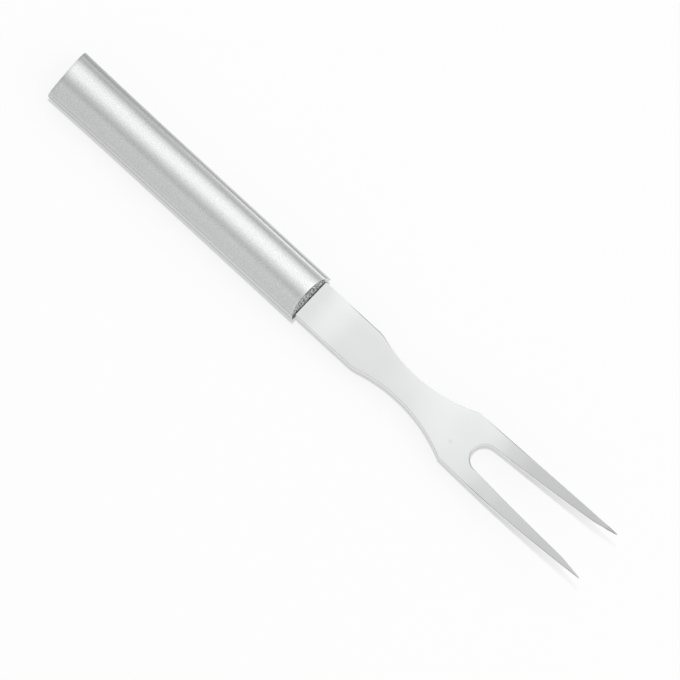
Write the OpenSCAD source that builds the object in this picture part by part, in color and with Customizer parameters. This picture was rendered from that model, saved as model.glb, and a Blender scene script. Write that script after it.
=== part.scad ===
// Two-tined carving fork: a stamped steel fork head whose tang is locked
// inside a cast aluminium handle. It lies on the underside of the handle,
// with its length along X, the tines towards +X and their tips raised.

/* [Handle] */
// Length from the butt to the ridge of the front end
handle_l = 111.2; // [95:0.2:130]
// Width of the oval grip along most of its length
handle_w = 18.4; // [17:0.1:24]
// Thickness of the oval grip
handle_t = 12.7; // [10:0.1:16]
// Width of the narrow flat along the underside, which the fork rests on
rest_flat_w = 2.4; // [1.6:0.1:4]
// Radius of the edge round the butt and round the front end
handle_edge_r = 0.4; // [0.2:0.1:1.5]
// Width where the grip flares out at the butt
butt_w = 19.1; // [18.2:0.1:26]
// Length of the flare, measured from the butt
flare_l = 45; // [20:1:80]
// How far the domed butt curves back at the top and at the underside
butt_set_back = 0.7; // [0.4:0.1:4]
// How far each half of the front end slopes back from its middle ridge
nose_set_back = 2.1; // [0.5:0.1:6]

/* [Neck and palm] */
// Thickness of the steel that the fork head is stamped from
steel_t = 2; // [1.5:0.1:3]
// Width of the straight neck where it leaves the handle
neck_w = 14.9; // [12:0.1:16]
// Width at the narrowest point of the waist
waist_w = 9.5; // [7:0.1:11]
// Radius of the arc that cuts each side of the waist
waist_r = 55; // [45:1:65]
// Width over the corners where the waist meets the palm
palm_w = 20.1; // [17:0.1:23]
// Distance from the front of the handle to the middle of the waist
handle_to_waist = 42.3; // [38:0.1:55]
// Distance from the middle of the waist to the root of the slot
waist_to_slot = 30.3; // [28:0.1:40]

/* [Tines] */
// Length of the tines, from the root of the slot to the tips
tine_l = 54.2; // [45:0.1:65]
// Width of the slot at its round root
slot_w = 9.7; // [7:0.1:11]
// Angle by which each inner edge leans away from the middle
slot_spread = 4.2; // [2:0.1:5]
// Width over the two tips
tip_spread_w = 19.5; // [18:0.1:22]
// How far the outer edge of a tine bows out between palm and tip
side_bow = 0.55; // [0.2:0.05:1.2]
// Length of the ground point at the end of a tine
point_l = 8.6; // [5:0.1:12]
// Width left at the tip
tip_w = 0.35; // [0.2:0.05:1]
// Thickness left at the tip
tip_t = 0.7; // [0.3:0.1:1.4]

/* [Rise of the tines] */
// Radius of the upward bend, measured at mid thickness
bend_r = 120; // [90:1:150]
// Angle of the bend, after which the tines run straight
bend_angle = 17.5; // [5:0.5:20]

/* [Tang inside the handle] */
// Length of the tang behind the front end of the handle
tang_l = 72; // [40:1:90]
// Width of the tang
tang_w = 11; // [8:0.1:12]
// Length of full neck width that is sunk in the handle
collar_l = 9; // [4:0.5:15]
// Diameter of the holes that the casting fills to lock the tang
lock_d = 5; // [3:0.1:6]
// Number of lock holes
lock_count = 2; // [1:1:3]
// Hairline gap between the steel and the casting round it
cast_gap = 0.02; // [0.01:0.01:0.2]

/* [Hidden] */

// Segments of the small arcs, and of the long shallow ones
arc_fn = 120;
long_arc_fn = 1440;
// Facets round a quarter of the oval section
oval_steps = 16;
// Sections along the flare and round each end's edge, and flats that follow
// the shallow bow of a tine's outer edge
flare_steps = 10;
edge_steps = 3;
bow_steps = 10;
// Amount by which cutting shapes reach past what they cut, and by which the
// straight stretches of the steel reach into its bend
past = 1;
seam = 0.01;

// Places along the fork, measured from the butt
waist_x = handle_l + handle_to_waist;
slot_x = waist_x + waist_to_slot;
tip_x = slot_x + tine_l;
tang_x = handle_l - tang_l;
collar_x = handle_l - collar_l;

// The waist arcs run out into the palm corners here
waist_y = waist_w / 2 + waist_r;
palm_x = waist_x + sqrt(pow(waist_r, 2) - pow(waist_y - palm_w / 2, 2));

// The outer edge of a tine lies on one arc through palm corner and tip
side_dx = tip_x - palm_x;
side_dy = (tip_spread_w - palm_w) / 2;
side_chord = norm([side_dx, side_dy]);
side_r = (pow(side_chord / 2, 2) + pow(side_bow, 2)) / (2 * side_bow);
side_centre = [
    (palm_x + tip_x) / 2 + side_dy * (side_r - side_bow) / side_chord,
    (palm_w + tip_spread_w) / 4 - side_dx * (side_r - side_bow) / side_chord
];
function side_half(x) = side_centre[1] + sqrt(pow(side_r, 2) - pow(x - side_centre[0], 2));

// The inner edges leave the round root of the slot at a tangent
slot_r = slot_w / 2;
slot_centre_x = slot_x + slot_r;
slot_edge = [slot_centre_x - slot_r * sin(slot_spread), slot_r * cos(slot_spread)];
function slot_half(x) = slot_edge[1] + (x - slot_edge[0]) * tan(slot_spread);

// The bend starts at the root of the slot, and the tines end straight
bend_end = [slot_x + bend_r * sin(bend_angle), bend_r * (1 - cos(bend_angle))];
tine_straight_l = (tip_x - bend_end[0]) / cos(bend_angle);
tip_rise = bend_end[1] + tine_straight_l * sin(bend_angle);

// The butt is domed by one arc, seen from the side
butt_r = (pow(handle_t / 2, 2) + pow(butt_set_back, 2)) / (2 * butt_set_back);

// Angles of the points up one side of the oval: from the edge of the flat to
// the widest point, and from there to half a facet short of the top
flat_angle = acos(rest_flat_w / handle_w);
side_angles = concat(
    [for (i = [0 : oval_steps - 1]) -flat_angle * (1 - i / oval_steps)],
    [for (i = [0 : oval_steps]) 90 * i / (oval_steps + 0.5)]
);
// Depth of the flat below the middle of the oval
rest_z = handle_t / 2 * sin(flat_angle);

// The lock holes are spaced evenly along the narrow part of the tang
lock_pitch = (collar_x - tang_x) / (lock_count + 1);

// Adds to an edge its mirror image across the X axis, in reverse
function mirror_y(p) = [for (i = [0 : len(p) - 1]) i == 1 ? -p[i] : p[i]];
function both_sides(edge) =
    concat(edge, [for (i = [len(edge) - 1 : -1 : 0]) mirror_y(edge[i])]);

// Side view of the handle at the height z: a domed butt, and a front end like
// a blunt wedge
function butt_x(z) = butt_r - sqrt(pow(butt_r, 2) - pow(z, 2));
function nose_x(z) = handle_l - nose_set_back * abs(z) / (handle_t / 2);

// Half the width of the grip at the place x
function grip_half_w(x) =
    handle_w / 2 + (butt_w - handle_w) / 2 * pow(max(0, 1 - x / flare_l), 2);

// Oval ring of points round the grip, up its +Y side and down the other:
// place_at gives its place at the height z, and inset shrinks it
function grip_side(place_at, inset) = [
    for (a = side_angles)
        let (z = (handle_t / 2 - inset) * sin(a), x = place_at(z))
            [x, (grip_half_w(x) - inset) * cos(a), z]
];
function grip_ring(place_at, inset) = both_sides(grip_side(place_at, inset));

// Skins one ring of points to the next and closes each end with strips that
// lie across it
module loft(rings) {
    n = len(rings[0]);
    last = (len(rings) - 1) * n;
    walls = [
        for (r = [0 : len(rings) - 2], i = [0 : n - 1])
            let (j = (i + 1) % n)
                [r * n + j, r * n + i, (r + 1) * n + i, (r + 1) * n + j]
    ];
    first_end = [for (i = [0 : n / 2 - 2]) [i, i + 1, n - 2 - i, n - 1 - i]];
    last_end = [for (f = first_end) [for (k = [3 : -1 : 0]) last + f[k]]];
    polyhedron(points = [for (ring = rings, p = ring) p], faces = concat(walls, first_end, last_end));
}

// The grip before the tang's room is taken out, with its edges rounded
module grip() {
    r = handle_edge_r;
    edge_turns = [for (i = [0 : edge_steps]) 90 * i / edge_steps];
    butt_rings = [
        for (b = edge_turns)
            grip_ring(function (z) butt_x(z) + r * (1 - cos(b)), r * (1 - sin(b)))
    ];
    flare_rings = [
        for (i = [1 : flare_steps])
            grip_ring(function (z) let (x = butt_x(z) + r) x + (flare_l - x) * i / flare_steps, 0)
    ];
    nose_rings = [
        for (b = edge_turns)
            grip_ring(function (z) nose_x(z) - r * (1 - sin(b)), r * (1 - cos(b)))
    ];
    loft(concat(butt_rings, flare_rings, nose_rings));
}

// Plan edge of the tang and of the collar at its front, grown by a gap
function tang_edge(gap) = [
    [tang_x - gap, tang_w / 2 + gap],
    [collar_x - gap, tang_w / 2 + gap],
    [collar_x - gap, neck_w / 2 + gap]
];

module lock_holes(gap) {
    for (i = [1 : lock_count])
        translate([tang_x + i * lock_pitch, 0])
            circle(r = lock_d / 2 - gap, $fn = arc_fn);
}

// The room that the tang takes up in the casting
module tang_room() {
    linear_extrude(height = steel_t + 2 * cast_gap, center = true) difference() {
        polygon(both_sides(concat(
            tang_edge(cast_gap),
            [[handle_l + past, neck_w / 2 + cast_gap]]
        )));
        lock_holes(cast_gap);
    }
}

// The slot between the tines, with the grinding of the two points
module slot_plan() {
    point_x = tip_x - point_l;
    point_y = slot_half(point_x);
    tip_y = tip_spread_w / 2 - tip_w;
    past_y = tip_y + (tip_y - point_y) / point_l * past;
    translate([slot_centre_x, 0]) circle(r = slot_r, $fn = arc_fn);
    polygon(both_sides([slot_edge, [point_x, point_y], [tip_x + past, past_y]]));
}

// Plan view of the whole fork head, from the tang to the tips
module head_plan() {
    bow = [
        for (i = [0 : bow_steps])
            let (x = waist_x + (tip_x - waist_x) * i / bow_steps)
                [x, side_half(x)]
    ];
    difference() {
        polygon(both_sides(concat(tang_edge(0), [[waist_x, neck_w / 2]], bow)));
        lock_holes(0);
        for (side = [-1, 1])
            translate([waist_x, side * waist_y]) circle(r = waist_r, $fn = 2 * arc_fn);
        slot_plan();
    }
}

// Side view of the steel: flat to the slot, then an arc, then straight tips
module head_side() {
    half_t = steel_t / 2;
    sector_r = (bend_r + steel_t) / cos(bend_angle);
    translate([tang_x - past, -half_t]) square([slot_x - tang_x + past + seam, steel_t]);
    translate([slot_x, bend_r]) intersection() {
        difference() {
            circle(r = bend_r + half_t, $fn = long_arc_fn);
            circle(r = bend_r - half_t, $fn = long_arc_fn);
        }
        polygon([[0, 0], [0, -sector_r], sector_r * [sin(bend_angle), -cos(bend_angle)]]);
    }
    translate(bend_end) rotate(bend_angle) polygon([
        [-seam, -half_t],
        [tine_straight_l - point_l, -half_t],
        [tine_straight_l, half_t - tip_t],
        [tine_straight_l + past, half_t - tip_t],
        [tine_straight_l + past, half_t],
        [-seam, half_t]
    ]);
}

module handle() {
    color([0.77, 0.78, 0.79]) place() difference() {
        grip();
        tang_room();
    }
}

module fork_head() {
    color([0.88, 0.89, 0.9]) place() intersection() {
        translate([0, 0, -steel_t]) linear_extrude(height = tip_rise + 2 * steel_t) head_plan();
        rotate([90, 0, 0]) linear_extrude(height = 2 * palm_w, center = true) head_side();
    }
}

// Puts the origin under the middle of the fork, on the surface it lies on
module place() {
    translate([-tip_x / 2, 0, rest_z]) children();
}

handle();
fork_head();
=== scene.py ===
"""Looks of a two-tined carving fork: a satin cast handle and a stamped steel fork head.

The shapes are worked out in millimetres: x from the butt of the handle to the tips,
y across, z up from the middle of the steel. place() turns them into the row frame.
"""

import math

import bpy
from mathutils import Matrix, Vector, noise
from mathutils.geometry import delaunay_2d_cdt


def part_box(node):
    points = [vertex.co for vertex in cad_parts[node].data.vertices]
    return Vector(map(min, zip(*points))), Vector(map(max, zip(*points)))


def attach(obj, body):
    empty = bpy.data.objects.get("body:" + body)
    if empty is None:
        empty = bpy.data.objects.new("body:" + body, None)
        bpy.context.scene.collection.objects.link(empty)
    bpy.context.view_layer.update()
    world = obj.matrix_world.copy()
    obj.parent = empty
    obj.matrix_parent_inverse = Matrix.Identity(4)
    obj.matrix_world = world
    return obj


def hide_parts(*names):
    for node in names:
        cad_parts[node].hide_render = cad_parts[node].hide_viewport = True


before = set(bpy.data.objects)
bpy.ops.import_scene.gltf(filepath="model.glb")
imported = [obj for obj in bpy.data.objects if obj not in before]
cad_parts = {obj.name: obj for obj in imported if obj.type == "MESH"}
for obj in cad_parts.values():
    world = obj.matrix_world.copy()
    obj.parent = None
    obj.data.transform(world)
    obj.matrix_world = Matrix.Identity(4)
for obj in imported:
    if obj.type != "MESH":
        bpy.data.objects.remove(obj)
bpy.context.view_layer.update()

MM = 0.001
HANDLE_LOW, HANDLE_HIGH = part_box("handle")
HEAD_LOW, HEAD_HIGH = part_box("fork_head")

# Oval grip, its flare towards the butt and the narrow flat that it rests on
HANDLE_L = (HANDLE_HIGH.x - HANDLE_LOW.x) / MM
HANDLE_W = 18.4
HANDLE_T = 12.7
BUTT_W = 19.1
FLARE_L = 45
REST_FLAT_W = 2.4

# Ends of the grip: radius of their edges, dome of the butt, how far out of square it is
# ground at its -Y corner, and slope of the front end
HANDLE_EDGE_R = 0.12
BUTT_SET_BACK = 0.7
BUTT_SKEW = 1
NOSE_SET_BACK = 2.1

# Wear on the face of the butt, and the least wear on the edge round it, where 1 is the most
BUTT_WEAR = 0.2
BUTT_EDGE_WEAR = 0.3

# Lumps and hollows of the rough front face. They fade over a share of the way from its rim
# to the neck at each end.
LUMPS_PER_MM = 2.3
LUMP_H = 0.09
HOLLOWS_PER_MM = 1.1
HOLLOW_DEPTH = 0.16
FACE_FADE = 0.15

# Beyond this distance to +Y the front face is painted pale as lit, without the painted shade of its
# corner
PALE_LIT_SIDE_Y = 7.1
PALE_LIT_SIDE_FADE = 0.4

# Steel of the fork head, and the gap round it where it enters the casting, with the depths of
# the rings down its walls
STEEL_T = 2
STEEL_EDGE_R = 0.22
JOINT_GAP = 0.12
JOINT_DEPTHS = (0.2, 1, 2.5)

# Height of the middle of the steel over the surface that the fork lies on
MID_Z = HEAD_LOW.z / MM + STEEL_T / 2

# Plan of the fork head
NECK_W = 14.9
WAIST_W = 9.5
WAIST_R = 55
PALM_W = 20.1
WAIST_X = HANDLE_L + 42.3
SLOT_X = WAIST_X + 30.3
SLOT_R = 9.7 / 2
SLOT_SPREAD = math.radians(4.2)
TIP_X = (HEAD_HIGH.x - HANDLE_LOW.x) / MM
TIP_SPREAD_W = 19.5
SIDE_BOW = 0.55
POINT_L = 8.6
TIP_W = 0.35
TIP_T = 0.7

# Tang inside the handle, with the holes that the casting fills
TANG_X = (HEAD_LOW.x - HANDLE_LOW.x) / MM
TANG_W = 11
COLLAR_X = HANDLE_L - 9
LOCK_R = 5 / 2
LOCK_COUNT = 2
LOCK_PITCH = (COLLAR_X - TANG_X) / (LOCK_COUNT + 1)
LOCK_CENTRES = [TANG_X + k * LOCK_PITCH for k in range(1, LOCK_COUNT + 1)]

# Centre of the arc that cuts each side of the waist, and where the arc meets neck and palm
WAIST_Y = WAIST_W / 2 + WAIST_R
SHOULDER_X = WAIST_X - math.sqrt(WAIST_R ** 2 - (WAIST_Y - NECK_W / 2) ** 2)
PALM_X = WAIST_X + math.sqrt(WAIST_R ** 2 - (WAIST_Y - PALM_W / 2) ** 2)

# Where a tine's inner edge leaves the round root of the slot, and where its point starts
SLOT_EDGE_X = SLOT_X + SLOT_R - SLOT_R * math.sin(SLOT_SPREAD)
SLOT_EDGE_Y = SLOT_R * math.cos(SLOT_SPREAD)
POINT_X = TIP_X - POINT_L

# Corners of the plan that are ground round: place, reach and passes of smoothing
GROUND_CORNERS = ((SHOULDER_X, 4, 10), (POINT_X, 3, 8))

# Rise of the tines
BEND_R = 120
BEND_ANGLE = math.radians(17.5)
BEND_END = BEND_R * math.sin(BEND_ANGLE)

# The +Y tine ends a little short of the other, and the -Y tip leans in
SHORT_TINE = 0.5
LEAN_IN = 0.35

# Waves along the steel, the crown across it, the lift of each tine's outer edge, and ripples
WAVE_L = 51
WAVE_X = 119
WAVE_H = 0.1
WAVE_START_L = 6
CROWN_H = 0.03
CUP_SLOPE = 0.02
CUP_START_L = 20
CUP_MIDDLE_Y = PALM_W * 0.4
RIPPLE_L = 14
RIPPLE_H = 0.02

# The edge round the root of the slot is worn rounder on its -Y side, and that stretch is darkened
# as painted shade: place, reach and added radius
ROOT_WEAR_AND_SHADE = (185.3, -3.2, 3.5)
ROOT_WEAR_R = 0.5

# Darker stretches of the steel's edges: place, reach and strength. Each is on one edge, which lies
# within the distance across below of its middle. The stretch round the root of the slot is painted
# shade.
DARK_EDGE_STRETCHES = [
    (131, 6.3, 8, 1),
    # Painted shade round the root of the slot
    (*ROOT_WEAR_AND_SHADE, 0.4),
    (191, 9.9, 8, 0.9),
    (195, -9.9, 5, 0.5),
    (195, -5.3, 5, 0.3),
    (197, 5.3, 2.5, 0.4),
    (235.6, 9.2, 2, 0.9),
]
DARK_STRETCH_ACROSS = 3

# Painted reflection: paler and darker bands at places along the steel
PAINTED_REFLECTION_BANDS = [
    (112, 0.96), (120, 1.04), (130, 0.945), (142, 0.945), (155, 0.985), (170, 1.03),
    (180, 0.985), (192, 0.98), (198, 1.03), (203, 0.985), (212, 1),
]

# Small dark pit in the palm: its place, its radius, that of its darkest part, and its tone there
PIT_X = 176.4
PIT_Y = -3.45
PIT_R = 0.9
PIT_DARK_R = PIT_R * 0.4
PIT_TONE = 0.93

# Faint green tint of both metals
ALUMINIUM_TINT = (0.98, 1, 0.99)
STEEL_TINT = (0.984, 1, 0.992)

# Tone added where the casting is worn, its tone on the +Y side of the front face, painted pale as
# lit, and tone added on the steel's rounded rims, on its upright walls, darker as a sheared edge
# and as painted shade, and on its darker stretches of edge
WORN_TONE = 0.04
PALE_LIT_SIDE_TONE = 0.75
EDGE_TONES = {"rim": -0.03, "wall": -0.15, "dark_stretch": -0.45}

# Floor, in metres: share of the light that it scatters, the level that reaches it, and its
# glow for the camera
FLOOR_HALF = 4
FLOOR_SHADE = 0.25
FLOOR_LIGHT = 1.97
FLOOR_GLOW = 0.49

# Glow added to the far floor as the lamp's light falls off there
FAR_GLOW = 0.3

# Strength of the shadow under the tips, and from where to where it fades to that. There the floor
# scatters less, and a painted glow stands in for the lamp's light.
TIP_SHADOW = 0.25
TIP_SHADOW_X = (0.084, 0.114)

# Glow of the floor in the metal's reflections, by metres across the fork
GRIP_GLOW = [
    (-0.1, 0.3), (-0.029, 0.17), (-0.016, 0.52), (-0.008, 0.66), (0.006, 0.55),
    (0.015, 0.85), (0.027, 0), (0.045, 0), (0.07, 0.85), (0.1, 1),
]

# The same beside the butt, and from where to where the one passes into the other
BUTT_GLOW = [
    (-0.1, 0.3), (-0.029, 0.15), (-0.016, 0.42), (-0.008, 0.56), (0.006, 0.8),
    (0.016, 0.6), (0.026, 0.05), (0.035, 0), (0.06, 0), (0.1, 0),
]
GLOW_REACH = 0.1
BUTT_GLOW_X = (-0.115, -0.05)

# Brightness of the room by the lean of a direction from straight up, in degrees:
# first across the fork, positive to +Y, and then the share of that along it, positive to +X
ACROSS_LIGHT = [
    (-90, 0.72), (-46, 0.74), (-34, 0.77), (-26, 0.73), (-16, 0.58), (-7, 0.69), (0, 0.86),
    (7, 1), (16, 1.24), (28, 1.28), (38, 1.24), (50, 1.02), (58, 0.84), (68, 0.57),
    (76, 0.6), (84, 0.76), (90, 0.74),
]
ALONG_SHARE = [
    (-90, 0.62), (-42, 0.64), (-30, 0.7), (-18, 0.76), (-10, 0.97), (-6, 1), (0, 1.05),
    (90, 1),
]

# Lamp, in metres and watts, with its lean from straight up to +Y
LAMP_SIZE = 0.15
LAMP_DISTANCE = 1.9
LAMP_LEAN = math.radians(2.2)
LAMP_WATTS = 41.8

# Camera, from its bearing, height and distance to the point it looks at
CAMERA_BEARING = math.radians(-46.91)
CAMERA_ELEVATION = math.radians(80)
CAMERA_DISTANCE = 1.7
CAMERA_TARGET = Vector((7.37, -2.57, 0)) * MM
CAMERA_HALF_FIELD = 111.66 * MM


def place(x, y, z):
    """A point of the shapes, in millimetres, as a point of the row frame, in metres."""
    return HANDLE_LOW.x + x * MM, y * MM, (z + MID_Z) * MM


def make_piece(name, points, faces, materials, face_materials, marks, node):
    """A smooth mesh that rides on the root body and stands for a CAD node."""
    mesh = bpy.data.meshes.new(name)
    mesh.from_pydata([place(*p) for p in points], [], faces)
    for material in materials:
        mesh.materials.append(material)
    mesh.polygons.foreach_set("material_index", face_materials)
    mesh.polygons.foreach_set("use_smooth", [True] * len(mesh.polygons))
    for mark_name, values in marks.items():
        mesh.attributes.new(mark_name, "FLOAT", "POINT").data.foreach_set("value", values)
    mesh.update()
    piece = bpy.data.objects.new(name, mesh)
    bpy.context.scene.collection.objects.link(piece)
    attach(piece, "root")
    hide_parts(node)


def blend(a, b, share):
    """From a to b as share goes from 0 to 1."""
    return a + (b - a) * share


def eased(value):
    """0 to 1 with a soft start and end."""
    value = min(max(value, 0), 1)
    return value * value * (3 - 2 * value)


def turn_angles(steps):
    """Angles of a quarter turn, from 0 up."""
    return [math.pi / 2 * i / steps for i in range(steps + 1)]


def ring_walls(ring_count, n, first=0):
    """Faces that join rings of n points, one ring to the next, with points from first on."""
    faces = []
    for k in range(ring_count - 1):
        a = first + k * n
        b = a + n
        faces += [(a + i, a + (i + 1) % n, b + (i + 1) % n, b + i) for i in range(n)]
    return faces


# Handle

def grip_half_w(x):
    """Half the width of the grip, which flares towards the butt."""
    return HANDLE_W / 2 + (BUTT_W - HANDLE_W) / 2 * max(0, 1 - x / FLARE_L) ** 2


def butt_x(y, z):
    """Domed butt, ground out of square towards -Y, the more so the nearer to that corner."""
    r = ((HANDLE_T / 2) ** 2 + BUTT_SET_BACK ** 2) / (2 * BUTT_SET_BACK)
    return r - math.sqrt(r * r - z * z) + BUTT_SKEW * (0.5 - y / BUTT_W) ** 1.5


def nose_x(z):
    """Front end like a blunt wedge, with its ridge level with the steel."""
    return HANDLE_L - NOSE_SET_BACK * abs(z) / (HANDLE_T / 2)


def side_angles(steps=32):
    """Angles up one side of the oval, from the flat underneath to half a step short of the top."""
    flat = math.acos(REST_FLAT_W / HANDLE_W)
    lower = [-flat * (1 - i / steps) for i in range(steps)]
    upper = [math.pi / 2 * i / (steps + 0.5) for i in range(steps + 1)]
    return lower + upper


def oval_ring(place_at, inset):
    """Ring round the grip, where place_at gives the x of a point from its y and z."""
    points = []
    for side in (1, -1):
        for a in side_angles():
            z = (HANDLE_T / 2 - inset) * math.sin(a)
            across = side * math.cos(a)
            x = place_at(across * (HANDLE_W / 2 - inset), z)
            points.append((x, across * (grip_half_w(x) - inset), z))
    half = len(points) // 2
    return points[:half] + list(reversed(points[half:]))


def mouth_point(y, z):
    """Where a point on the +Y half of the oval comes to on the mouth round the neck."""
    half_w = NECK_W / 2 + JOINT_GAP
    half_t = STEEL_T / 2 + JOINT_GAP
    if y <= half_w:
        return y, math.copysign(half_t, z)
    z_over_neck = HANDLE_T / 2 * math.sqrt(1 - (half_w / (HANDLE_W / 2)) ** 2)
    return half_w, max(-1, min(1, z / z_over_neck)) * half_t


def rough_face_ring(share):
    """Ring on the rough front face: 0 at its rim, 1 at the mouth round the neck."""
    inset = HANDLE_EDGE_R
    side = []
    for a in side_angles():
        z_rim = (HANDLE_T / 2 - inset) * math.sin(a)
        y_rim = (HANDLE_W / 2 - inset) * math.cos(a)
        y_mouth, z_mouth = mouth_point(y_rim, z_rim)
        side.append((blend(y_rim, y_mouth, share), blend(z_rim, z_mouth, share)))
    fade = eased(share / FACE_FADE) * eased((1 - share) / FACE_FADE)
    # The hollows are read off another slice of the noise than the lumps
    hollow_slice = 4
    points = []
    for y, z in side + [(-y, z) for y, z in reversed(side)]:
        lump = noise.noise(Vector((0, y, z)) * LUMPS_PER_MM) * LUMP_H
        hollow = abs(noise.noise(Vector((hollow_slice, y, z)) * HOLLOWS_PER_MM)) * HOLLOW_DEPTH
        points.append((nose_x(z) + fade * (lump - hollow), y, z))
    return points


def mouth_ring(depth):
    """Ring down the walls of the mouth, at that depth behind the front face."""
    return [(nose_x(z) - depth, y, z) for _, y, z in rough_face_ring(1)]


def grip_rings():
    """(ring, wear) pairs over the belt finished surface, from the butt to the front's rim."""
    r = HANDLE_EDGE_R
    past_edge = 0.15
    edge_steps = 5
    body_steps = 110
    rings = [(oval_ring(butt_x, r + past_edge), BUTT_WEAR)]
    for b in turn_angles(edge_steps):
        inset = r * (1 - math.sin(b))
        ring = oval_ring(lambda y, z: butt_x(y, z) + r * (1 - math.cos(b)), inset)
        rings.append((ring, blend(BUTT_EDGE_WEAR, 1, math.sin(2 * b))))
    for i in range(1, body_steps):
        share = i / body_steps
        ring = oval_ring(lambda y, z: blend(butt_x(y, z) + r, nose_x(z) - r, share), 0)
        rings.append((ring, 0))
    for b in turn_angles(edge_steps):
        inset = r * (1 - math.cos(b))
        ring = oval_ring(lambda y, z: nose_x(z) - r * (1 - math.sin(b)), inset)
        rings.append((ring, math.sin(2 * b)))
    return rings


def front_marks(face_rings, n_before, n_after):
    """Marks of the rough front face: millimetres from its rim and from the neck, and how far it is
    painted pale on its lit +Y side.
    They are 0 on the n_before points before it and n_after behind it."""
    marks = {"from_rim": [0] * n_before, "from_neck": [0] * n_before, "pale_lit_side": [0] * n_before}
    for ring in face_rings[1:-1]:
        for point, rim_point, neck_point in zip(ring, face_rings[0], face_rings[-1]):
            here = Vector(point)
            marks["from_rim"].append((here - Vector(rim_point)).length)
            marks["from_neck"].append((here - Vector(neck_point)).length)
            marks["pale_lit_side"].append(eased((here.y - PALE_LIT_SIDE_Y) / PALE_LIT_SIDE_FADE))
    for values in marks.values():
        values += [0] * n_after
    return marks


def end_strips(n, last):
    """Strips across the first ring of n points and across the ring that starts at last."""
    faces = []
    for i in range(n // 2 - 1):
        strip = (i, i + 1, n - 2 - i, n - 1 - i)
        faces.append(tuple(reversed(strip)))
        faces.append(tuple(last + p for p in strip))
    return faces


def make_handle(satin, casting):
    """Handle from the butt to the bottom of the mouth round the neck."""
    face_steps = 26
    grip = grip_rings()
    face = [rough_face_ring(i / face_steps) for i in range(1, face_steps + 1)]
    mouth = [mouth_ring(depth) for depth in JOINT_DEPTHS]
    rings = [ring for ring, _ in grip] + face + mouth
    n = len(rings[0])
    # The last ring of the grip is the rim of the rough face
    rough = len(grip) - 1
    marks = front_marks(rings[rough:len(grip) + face_steps], n * len(grip), n * (1 + len(mouth)))
    wear = [amount for _, amount in grip] + [0] * (len(face) + len(mouth))
    marks["wear"] = [amount for amount in wear for _ in range(n)]
    points = [point for ring in rings for point in ring]
    faces = ring_walls(len(rings), n) + end_strips(n, len(points) - n)
    wall_materials = [0] * (rough * n) + [1] * ((len(rings) - 1 - rough) * n)
    end_materials = [0, 1] * (n // 2 - 1)
    make_piece("handle_casting", points, faces, [satin, casting], wall_materials + end_materials,
               marks, "handle")


# Fork head

def waist_half(x):
    """Half the width along the waist."""
    return WAIST_Y - math.sqrt(WAIST_R ** 2 - (x - WAIST_X) ** 2)


def tine_side_half(x):
    """Outer edge of a tine: one shallow arc through the palm's corner and the tip."""
    dx, dy = TIP_X - PALM_X, (TIP_SPREAD_W - PALM_W) / 2
    chord = math.hypot(dx, dy)
    r = ((chord / 2) ** 2 + SIDE_BOW ** 2) / (2 * SIDE_BOW)
    centre_x = (PALM_X + TIP_X) / 2 + dy * (r - SIDE_BOW) / chord
    centre_y = (PALM_W + TIP_SPREAD_W) / 4 - dx * (r - SIDE_BOW) / chord
    return centre_y + math.sqrt(r * r - (x - centre_x) ** 2)


def slot_half(x):
    """Inner edge of a tine, with the taper ground on its point."""
    if x <= SLOT_EDGE_X:
        return math.sqrt(max(0, SLOT_R ** 2 - (x - SLOT_X - SLOT_R) ** 2))
    straight = SLOT_EDGE_Y + (min(x, POINT_X) - SLOT_EDGE_X) * math.tan(SLOT_SPREAD)
    if x <= POINT_X:
        return straight
    return blend(straight, TIP_SPREAD_W / 2 - TIP_W, (x - POINT_X) / POINT_L)


def outer_half(x):
    """Outer edge of the fork head in front of the handle."""
    if x < SHOULDER_X:
        return NECK_W / 2
    return waist_half(x) if x < PALM_X else tine_side_half(x)


def along(start, end, step):
    """Even steps from start towards end, which is left out."""
    count = max(1, round(abs(end - start) / step))
    return [blend(start, end, i / count) for i in range(count)]


def half_outline(step=0.5, root_steps=24):
    """+Y half of the outline, from the end of the tang round to the root of the slot."""
    points = [(TANG_X, y) for y in along(0, TANG_W / 2, step)]
    points += [(x, TANG_W / 2) for x in along(TANG_X, COLLAR_X, step)]
    points += [(COLLAR_X, y) for y in along(TANG_W / 2, NECK_W / 2, step)]
    for start, end in ((COLLAR_X, SHOULDER_X), (SHOULDER_X, PALM_X), (PALM_X, TIP_X)):
        points += [(x, outer_half(x)) for x in along(start, end, step)]
    points += [(TIP_X, TIP_SPREAD_W / 2), (TIP_X, TIP_SPREAD_W / 2 - TIP_W)]
    points += [(x, slot_half(x)) for x in along(TIP_X, POINT_X, step)[1:]]
    points += [(x, slot_half(x)) for x in along(POINT_X, SLOT_EDGE_X, step)]
    for i in range(root_steps + 1):
        a = blend(math.pi / 2 + SLOT_SPREAD, math.pi, i / root_steps)
        points.append((SLOT_X + SLOT_R + SLOT_R * math.cos(a), SLOT_R * math.sin(a)))
    return points


def soften(points, corner_x, reach, passes):
    """Rounds the corners of the half outline that lie at corner_x."""
    for _ in range(passes):
        old = list(points)
        for i in range(1, len(points) - 1):
            if abs(old[i][0] - corner_x) < reach:
                around = zip(old[i - 1], old[i], old[i + 1])
                points[i] = tuple((before + 2 * here + after) / 4 for before, here, after in around)
    return points


def fork_outline():
    """Outline of the fork head, clockwise seen from above: the +Y half and its mirror image."""
    half = half_outline()
    for corner in GROUND_CORNERS:
        half = soften(half, *corner)
    return half + [(x, -y) for x, y in reversed(half[1:-1])]


def lock_outlines(steps=48):
    """Outlines of the holes in the tang, anticlockwise seen from above."""
    turns = [2 * math.pi * i / steps for i in range(steps)]
    return [
        [(centre + LOCK_R * math.cos(a), LOCK_R * math.sin(a)) for a in turns]
        for centre in LOCK_CENTRES
    ]


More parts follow.
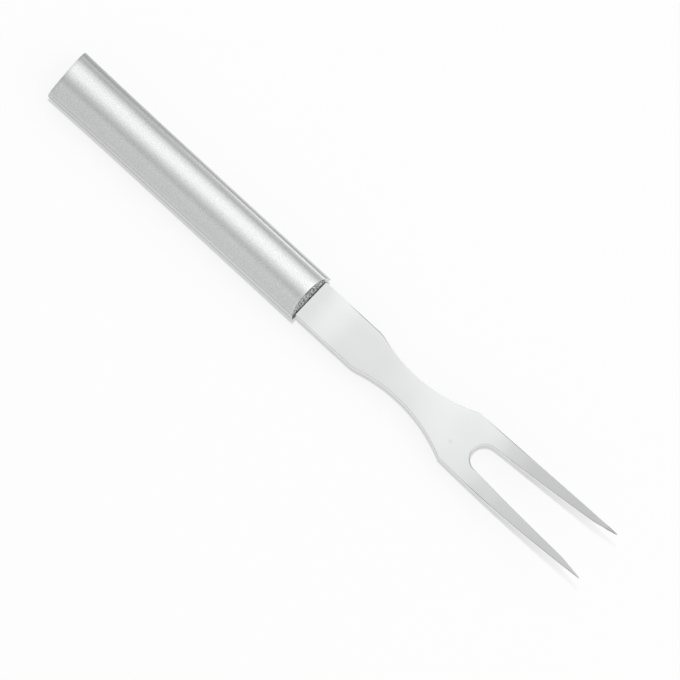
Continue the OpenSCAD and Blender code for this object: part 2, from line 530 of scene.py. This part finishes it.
def inward_normals(loop):
    """Mitred normals of a closed loop, into the steel, which lies on the right of each edge."""
    mitre_limit = 0.5
    normals = []
    for i, (x, y) in enumerate(loop):
        before, after = loop[i - 1], loop[(i + 1) % len(loop)]
        a = Vector((y - before[1], before[0] - x)).normalized()
        b = Vector((after[1] - y, x - after[0])).normalized()
        mean = (a + b).normalized()
        normals.append(mean / max(mitre_limit, mean.dot(a)))
    return normals


def steel_width(x):
    """Width of a tine, or of the whole head where it has no slot."""
    if x > SLOT_EDGE_X:
        return outer_half(x) - slot_half(x)
    return 2 * outer_half(max(x, COLLAR_X))


def steel_thickness(x):
    """Thickness of the steel, which tapers along the points."""
    return blend(STEEL_T, TIP_T, max(0, (x - POINT_X) / POINT_L))


def steel_height(x):
    """Height of the middle of the steel and its slope, along the fork."""
    d = x - SLOT_X
    if d <= 0:
        return 0, 0
    if d < BEND_END:
        return BEND_R - math.sqrt(BEND_R ** 2 - d * d), math.asin(d / BEND_R)
    flat_rise = (d - BEND_END) * math.tan(BEND_ANGLE)
    return BEND_R * (1 - math.cos(BEND_ANGLE)) + flat_rise, BEND_ANGLE


def hand_ground(x, y):
    """Slight waves and crown that grinding leaves in the flat steel, which its reflections show."""
    start = eased((x - HANDLE_L) / WAVE_START_L)
    wave = -WAVE_H * math.sin((x - WAVE_X) / WAVE_L * 2 * math.pi)
    crown = -CROWN_H * (abs(y) / outer_half(max(x, HANDLE_L))) ** 4
    cup = CUP_SLOPE * eased((x - SLOT_X) / CUP_START_L) * (abs(y) - CUP_MIDDLE_Y)
    ripple = RIPPLE_H * noise.noise(Vector((x, y, 0)) / RIPPLE_L)
    return start * (wave + crown + cup + ripple)


def steel_point(x, y, z):
    """Bends a point of the flat steel, z from its middle, up into the tines."""
    height, slope = steel_height(x)
    drift = eased((x - SLOT_X) / (TIP_X - SLOT_X))
    top = STEEL_T / 2
    z = top - (top - z) * steel_thickness(x) / STEEL_T
    z = height + (z + hand_ground(x, y)) / math.cos(slope)
    if y > 0:
        return x - SHORT_TINE * drift, y, z
    return x, y + LEAN_IN * drift, z


def inner_points(step=1.3, margin=0.9, into_points=2):
    """Points inside the plan, so that the flat faces can follow the bend and the waves."""
    points = []
    x = TANG_X + margin
    while x < POINT_X + into_points:
        high = (TANG_W / 2 if x < COLLAR_X else outer_half(x)) - margin
        if x >= SLOT_X:
            low = slot_half(x) + margin
        else:
            low = 0 if x < SLOT_X - margin else step
        rows = int((high - low) / step)
        if high > low:
            for i in range(rows + 1):
                y = low + (high - low) * (i / rows if rows else 0.5)
                points.append((x, y))
                if y > 0:
                    points.append((x, -y))
        x += step
    clear = LOCK_R + margin
    return [p for p in points if all(math.hypot(p[0] - c, p[1]) > clear for c in LOCK_CENTRES)]


def near(x, y, centre_x, centre_y, reach):
    """1 close to a centre in the plan, and softly down to 0 at one and a half times its reach."""
    return eased(1.5 - math.hypot(x - centre_x, y - centre_y) / reach)


def edge_profile(x, y, steps=4):
    """(inset, z) pairs down the rounded edge of the steel, from its top face to its underside."""
    most_of_width = 0.3
    worn = STEEL_EDGE_R + ROOT_WEAR_R * near(x, y, *ROOT_WEAR_AND_SHADE)
    r = min(worn, most_of_width * steel_width(x))
    half = STEEL_T / 2
    # A point just past each end of the rounding keeps the flat faces flat in the shading
    past_rounding = 0.1
    upper = [(r + min(past_rounding, r / 5), half)]
    for b in reversed(turn_angles(steps)):
        upper.append((r * (1 - math.cos(b)), half - r * (1 - math.sin(b))))
    upper.append((0, half - r - past_rounding))
    return upper + [(inset, -z) for inset, z in reversed(upper)]


def edge_darkness(x, y):
    """0 to 1 along the edges, highest in the darker stretches; the one round the root of the slot
    is painted shade.
    """
    dark_stretch = 0
    for centre_x, centre_y, reach, strength in DARK_EDGE_STRETCHES:
        if abs(y - centre_y) < DARK_STRETCH_ACROSS:
            dark_stretch = max(dark_stretch, strength * near(x, y, centre_x, centre_y, reach))
    return dark_stretch


def edge_rings(loop):
    """Rings down the rounded edge round a loop. Each point has its place in the plan, its
    height, and its marks: on the rounded rim, on the upright wall, and how dark its stretch of edge
    is."""
    normals = inward_normals(loop)
    profiles = [edge_profile(x, y) for x, y in loop]
    depth = len(profiles[0])
    rings = []
    for k in range(depth):
        on_wall = k in (depth // 2 - 1, depth // 2)
        on_rim = 0 < k < depth - 1 and not on_wall
        ring = []
        for (x, y), normal, profile in zip(loop, normals, profiles):
            inset, z = profile[k]
            dark_stretch = edge_darkness(x, y) if on_rim else 0
            marks = (float(on_rim), float(on_wall), dark_stretch)
            ring.append((x + normal[0] * inset, y + normal[1] * inset, z, marks))
        rings.append(ring)
    return rings


def cap_triangles(plan, edges, top, bottom):
    """Triangles of both flat faces. The lists top and bottom number the points over and under
    each point of the plan."""
    inside_without_holes = 2
    tolerance = 1e-6
    _, _, triangles, sources, _, _ = delaunay_2d_cdt(
        [Vector(p) for p in plan], edges, [], inside_without_holes, tolerance)
    faces = []
    for triangle in triangles:
        corners = [sources[v][0] for v in triangle]
        faces.append(tuple(top[c] for c in corners))
        faces.append(tuple(bottom[c] for c in reversed(corners)))
    return faces


def make_fork_head(steel):
    """Fork head from the tang to the tips: rounded edges round each loop, and the flat faces."""
    points, faces, marks = [], [], []
    plan, edges, top, bottom = [], [], [], []
    for loop in [fork_outline()] + lock_outlines():
        n, first, first_plan = len(loop), len(points), len(plan)
        rings = edge_rings(loop)
        for ring in rings:
            points += [steel_point(x, y, z) for x, y, z, _ in ring]
            marks += [point_marks for _, _, _, point_marks in ring]
        faces += ring_walls(len(rings), n, first)
        plan += [(x, y) for x, y, _, _ in rings[0]]
        edges += [(first_plan + i, first_plan + (i + 1) % n) for i in range(n)]
        top += range(first, first + n)
        bottom += range(len(points) - n, len(points))
    for x, y in inner_points():
        plan.append((x, y))
        for z, numbers in ((STEEL_T / 2, top), (-STEEL_T / 2, bottom)):
            numbers.append(len(points))
            points.append(steel_point(x, y, z))
            marks.append((0, 0, 0))
    faces += cap_triangles(plan, edges, top, bottom)
    make_piece("fork_head_steel", points, faces, [steel], [0] * len(faces),
               dict(zip(("rim", "wall", "dark_stretch"), zip(*marks))), "fork_head")


# Materials

def new_material(name):
    """A material, its node tree and the shader that it starts with."""
    material = bpy.data.materials.new(name)
    material.use_nodes = True
    tree = material.node_tree
    return material, tree, tree.nodes["Principled BSDF"]


def add(tree, kind, inputs=None, **settings):
    """A shader node whose inputs are linked to sockets or set to values."""
    node = tree.nodes.new("ShaderNode" + kind)
    for key, value in settings.items():
        setattr(node, key, value)
    for key, value in (inputs or {}).items():
        if isinstance(value, bpy.types.NodeSocket):
            tree.links.new(value, node.inputs[key])
        else:
            node.inputs[key].default_value = value
    return node


def calculate(tree, operation, *values):
    """Result of a Math node on one to three values."""
    return add(tree, "Math", dict(enumerate(values)), operation=operation).outputs["Value"]


def total(tree, first, *others):
    """Sum of the values."""
    for other in others:
        first = calculate(tree, "ADD", first, other)
    return first


def product(tree, first, *others):
    """Product of the values."""
    for other in others:
        first = calculate(tree, "MULTIPLY", first, other)
    return first


def to_range(tree, value, low, high, start=0.3, end=0.7):
    """From low to high as the value goes from start to end, whose defaults fit most noise."""
    inputs = {"Value": value, "From Min": start, "From Max": end, "To Min": low, "To Max": high}
    return add(tree, "MapRange", inputs).outputs["Result"]


def level_ramp(tree, value, reach, levels):
    """Level at a value from -reach to reach, read off a list of (value, level) by a ramp."""
    share = to_range(tree, value, 0, 1, -reach, reach)
    ramp = add(tree, "ValToRGB", {"Fac": share})
    ramp.color_ramp.interpolation = "EASE"
    stops = ramp.color_ramp.elements
    while len(stops) > 1:
        stops.remove(stops[-1])
    for i, (stop_value, level) in enumerate(levels):
        position = stop_value / reach / 2 + 0.5
        stop = stops[0] if i == 0 else stops.new(position)
        stop.position = position
        stop.color = (level, level, level, 1)
    return ramp.outputs["Color"]


def millimetres(tree, stretch=(1, 1, 1)):
    """Coordinates on the piece in millimetres, multiplied along each axis by stretch."""
    spot = add(tree, "TexCoord").outputs["Object"]
    scale = tuple(s / MM for s in stretch)
    return add(tree, "Mapping", {"Vector": spot, "Scale": scale}).outputs["Vector"]


def grain(tree, per_mm, stretch=(1, 1, 1), detail=2, roughness=0.5):
    """Noise from 0 to 1, with about per_mm lumps to the millimetre."""
    spot = millimetres(tree, stretch)
    inputs = {"Vector": spot, "Scale": per_mm, "Detail": detail, "Roughness": roughness}
    return add(tree, "TexNoise", inputs).outputs["Fac"]


def mark(tree, name):
    """A mark of the mesh, by its name."""
    return add(tree, "Attribute", attribute_name=name).outputs["Fac"]


def tinted(tree, value, tint):
    """A grey of that value, times the tint."""
    parts = [product(tree, value, t) for t in tint]
    return add(tree, "CombineColor", dict(enumerate(parts))).outputs["Color"]


def bump(tree, *layers):
    """Chain of bumps, each a height from 0 to 1 and its depth in millimetres."""
    normal = None
    for height, depth in layers:
        inputs = {"Height": height, "Distance": depth * MM}
        if normal is not None:
            inputs["Normal"] = normal
        normal = add(tree, "Bump", inputs).outputs["Normal"]
    return normal


def connect(tree, shader, colour, roughness, normal):
    """Links what varies over the piece to the shader."""
    tree.links.new(colour, shader.inputs["Base Color"])
    tree.links.new(roughness, shader.inputs["Roughness"])
    tree.links.new(normal, shader.inputs["Normal"])


def satin_aluminium():
    """Belt finished casting: fine speckle, faint lines along the grip, paler worn edges."""
    material, tree, shader = new_material("satin_aluminium")
    speckle = grain(tree, per_mm=2.4, stretch=(1.2, 1, 1), roughness=0.6)
    clouds = grain(tree, per_mm=0.08, stretch=(0.5, 1, 1))
    lines = grain(tree, per_mm=3, stretch=(0.05, 1, 1))
    worn = product(tree, mark(tree, "wear"), WORN_TONE)
    speckle_tone = to_range(tree, speckle, low=-0.085, high=0.085)
    cloud_tone = to_range(tree, clouds, low=0.77, high=0.79)
    speckle_rough = to_range(tree, speckle, low=-0.02, high=0.02)
    cloud_rough = to_range(tree, clouds, low=0.2, high=0.24)
    tone = total(tree, speckle_tone, cloud_tone, worn)
    rough = total(tree, cloud_rough, speckle_rough)
    normal = bump(tree, (lines, 0.0006), (speckle, 0.008))
    connect(tree, shader, tinted(tree, tone, ALUMINIUM_TINT), rough, normal)
    shader.inputs["Metallic"].default_value = 1
    shader.inputs["Specular Tint"].default_value = (0.45, 0.45, 0.45, 1)
    return material


def raw_casting():
    """Rough front face as it left the mould: mottled and pitted, with painted shade in the corner
    by the neck and painted pale on its +Y side.
    """
    material, tree, shader = new_material("raw_casting")
    lumps = grain(tree, per_mm=1.5, detail=4, roughness=0.65)
    fine = grain(tree, per_mm=4.5, detail=3, roughness=0.6)
    mottle = to_range(tree, lumps, low=0.08, high=0.95, start=0.4, end=0.62)
    grit = to_range(tree, fine, low=0.55, high=1.4)
    # Painted shade in the corner where the face meets the steel
    corner = to_range(tree, mark(tree, "from_neck"), low=0.18, high=1, start=0.5, end=1.4)
    rim = to_range(tree, mark(tree, "from_rim"), low=0.3, high=1, start=0.1, end=0.5)
    # Painted light: the +Y side of the face is painted pale, over the painted shade of its corner
    pale_lit_side = product(tree, mark(tree, "pale_lit_side"), PALE_LIT_SIDE_TONE)
    tone = calculate(tree, "MAXIMUM", product(tree, mottle, grit, corner, rim), pale_lit_side)
    rough = to_range(tree, fine, low=0.45, high=0.7)
    normal = bump(tree, (lumps, 0.12), (fine, 0.05))
    connect(tree, shader, tinted(tree, tone, ALUMINIUM_TINT), rough, normal)
    shader.inputs["Metallic"].default_value = 0.85
    return material


def painted_reflection_bands(tree):
    """Factor for the painted reflection bands, by the place along the steel."""
    x = add(tree, "SeparateXYZ", {0: millimetres(tree)}).outputs["X"]
    half = TIP_X / 2
    from_middle = calculate(tree, "SUBTRACT", x, HANDLE_LOW.x / MM + half)
    levels = [(band_x - half, tone) for band_x, tone in PAINTED_REFLECTION_BANDS]
    return level_ramp(tree, from_middle, half, levels)


def pit(tree):
    """Factor that darkens a small round pit in the face of the palm."""
    centre = (HANDLE_LOW.x / MM + PIT_X, PIT_Y, HEAD_LOW.z / MM + STEEL_T)
    ends = {0: millimetres(tree), 1: centre}
    away = add(tree, "VectorMath", ends, operation="DISTANCE").outputs["Value"]
    return to_range(tree, away, PIT_TONE, 1, start=PIT_DARK_R, end=PIT_R)


def stainless_steel():
    """Fine satin sheet: hairlines along the fork, soft clouds, painted reflection bands, darker
    edges with painted shade on the walls.
    """
    material, tree, shader = new_material("stainless_steel")
    hairlines = grain(tree, per_mm=5, stretch=(0.04, 1, 1), detail=3)
    clouds = grain(tree, per_mm=0.09, stretch=(0.6, 1, 1), detail=3)
    speckle = grain(tree, per_mm=2.2)
    hairline_tone = to_range(tree, hairlines, low=-0.008, high=0.008)
    cloud_tone = to_range(tree, clouds, low=0.8, high=0.825)
    speckle_rough = to_range(tree, speckle, low=-0.01, high=0.01)
    cloud_rough = to_range(tree, clouds, low=0.17, high=0.21)
    # The upright walls are darkened partly as a sheared edge, partly as painted shade
    edges = [product(tree, mark(tree, name), change) for name, change in EDGE_TONES.items()]
    tone = total(tree, cloud_tone, hairline_tone, *edges)
    tone = product(tree, tone, painted_reflection_bands(tree), pit(tree))
    rough = total(tree, cloud_rough, speckle_rough)
    normal = bump(tree, (hairlines, 0.0005), (speckle, 0.0008))
    connect(tree, shader, tinted(tree, tone, STEEL_TINT), rough, normal)
    shader.inputs["Metallic"].default_value = 1
    return material


# Stage

def lamp_falloff(tree, spot):
    """Share of the lamp's light that reaches a spot on the floor: 1 at the origin, less far off."""
    square = add(tree, "VectorMath", {0: spot, 1: spot}, operation="DOT_PRODUCT").outputs["Value"]
    slant = calculate(tree, "MULTIPLY_ADD", square, LAMP_DISTANCE ** -2, 1)
    return calculate(tree, "POWER", slant, -2)


def floor_material():
    """Pale paper that glows a little for the camera and in reflections, with its shadows kept,
    fainter under the tips.
    """
    material, tree, _ = new_material("floor_paper")
    tree.nodes.clear()
    ray = add(tree, "LightPath").outputs
    spot = add(tree, "TexCoord").outputs["Object"]
    axes = add(tree, "SeparateXYZ", {0: spot}).outputs
    shadow = to_range(tree, axes["X"], 1, TIP_SHADOW, *TIP_SHADOW_X)
    # Painted light: glow that stands in for the lamp's light where the shadow under the tips is
    # made fainter
    unshaded = to_range(tree, shadow, FLOOR_SHADE * FLOOR_LIGHT, 0, start=0, end=1)
    far_glow = to_range(tree, lamp_falloff(tree, spot), FAR_GLOW, 0, start=0, end=1)
    seen = total(tree, unshaded, FLOOR_GLOW, far_glow)
    beside_butt = level_ramp(tree, axes["Y"], GLOW_REACH, BUTT_GLOW)
    beside_grip = level_ramp(tree, axes["Y"], GLOW_REACH, GRIP_GLOW)
    beside = to_range(tree, axes["X"], beside_butt, beside_grip, *BUTT_GLOW_X)
    mirrored = total(tree, unshaded, beside)
    seen = product(tree, ray["Is Camera Ray"], seen)
    mirrored = product(tree, ray["Is Glossy Ray"], mirrored)
    lit = add(tree, "BsdfDiffuse", {"Color": product(tree, shadow, FLOOR_SHADE)})
    glow = add(tree, "Emission", {"Color": (1, 1, 1, 1), "Strength": total(tree, seen, mirrored)})
    both = add(tree, "AddShader", {0: lit.outputs[0], 1: glow.outputs[0]})
    output = add(tree, "OutputMaterial")
    tree.links.new(both.outputs[0], output.inputs["Surface"])
    return material


def make_floor():
    """Square floor that the fork lies on."""
    half = FLOOR_HALF
    mesh = bpy.data.meshes.new("floor")
    corners = [(-half, -half, 0), (half, -half, 0), (half, half, 0), (-half, half, 0)]
    mesh.from_pydata(corners, [], [(0, 1, 2, 3)])
    mesh.materials.append(floor_material())
    floor = bpy.data.objects.new("floor", mesh)
    bpy.context.scene.collection.objects.link(floor)


def make_world():
    """Soft room that lights the metal, with white behind it for the camera."""
    world = bpy.data.worlds.new("studio")
    bpy.context.scene.world = world
    world.use_nodes = True
    tree = world.node_tree
    tree.nodes.clear()
    direction = add(tree, "TexCoord").outputs["Generated"]
    axes = add(tree, "SeparateXYZ", {0: direction}).outputs
    across_lean = calculate(tree, "DEGREES", calculate(tree, "ARCTAN2", axes["Y"], axes["Z"]))
    along_lean = calculate(tree, "DEGREES", calculate(tree, "ARCSINE", axes["X"]))
    across = level_ramp(tree, across_lean, 90, ACROSS_LIGHT)
    share = level_ramp(tree, along_lean, 90, ALONG_SHARE)
    room = add(tree, "Background", {"Color": across, "Strength": share}).outputs[0]
    white = add(tree, "Background", {"Color": (1, 1, 1, 1), "Strength": 1}).outputs[0]
    seen = add(tree, "LightPath").outputs["Is Camera Ray"]
    mix = add(tree, "MixShader", {0: seen, 1: room, 2: white})
    output = add(tree, "OutputWorld")
    tree.links.new(mix.outputs[0], output.inputs["Surface"])


def make_lamp():
    """Soft lamp nearly overhead, for the floor and its shadows: the room lights the metal."""
    light = bpy.data.lights.new("overhead", "AREA")
    light.shape = "DISK"
    light.size = LAMP_SIZE
    light.energy = LAMP_WATTS
    lamp = bpy.data.objects.new("overhead", light)
    lamp.location = Vector((0, math.sin(LAMP_LEAN), math.cos(LAMP_LEAN))) * LAMP_DISTANCE
    lamp.rotation_euler = (-LAMP_LEAN, 0, 0)
    lamp.visible_glossy = False
    bpy.context.scene.collection.objects.link(lamp)


def make_camera():
    """Camera nearly overhead, with the butt of the fork at the upper left as in the photo."""
    data = bpy.data.cameras.new("camera")
    data.sensor_fit = "HORIZONTAL"
    data.angle = 2 * math.atan(CAMERA_HALF_FIELD / CAMERA_DISTANCE)
    camera = bpy.data.objects.new("camera", data)
    level = math.cos(CAMERA_ELEVATION)
    back = Vector((level * math.cos(CAMERA_BEARING), level * math.sin(CAMERA_BEARING),
                   math.sin(CAMERA_ELEVATION)))
    camera.location = CAMERA_TARGET + back * CAMERA_DISTANCE
    camera.rotation_euler = (-back).to_track_quat("-Z", "Y").to_euler()
    bpy.context.scene.collection.objects.link(camera)
    bpy.context.scene.camera = camera


make_camera()
make_handle(satin_aluminium(), raw_casting())
make_fork_head(stainless_steel())
make_floor()
make_world()
make_lamp()
bpy.context.scene.view_settings.view_transform = "Standard"
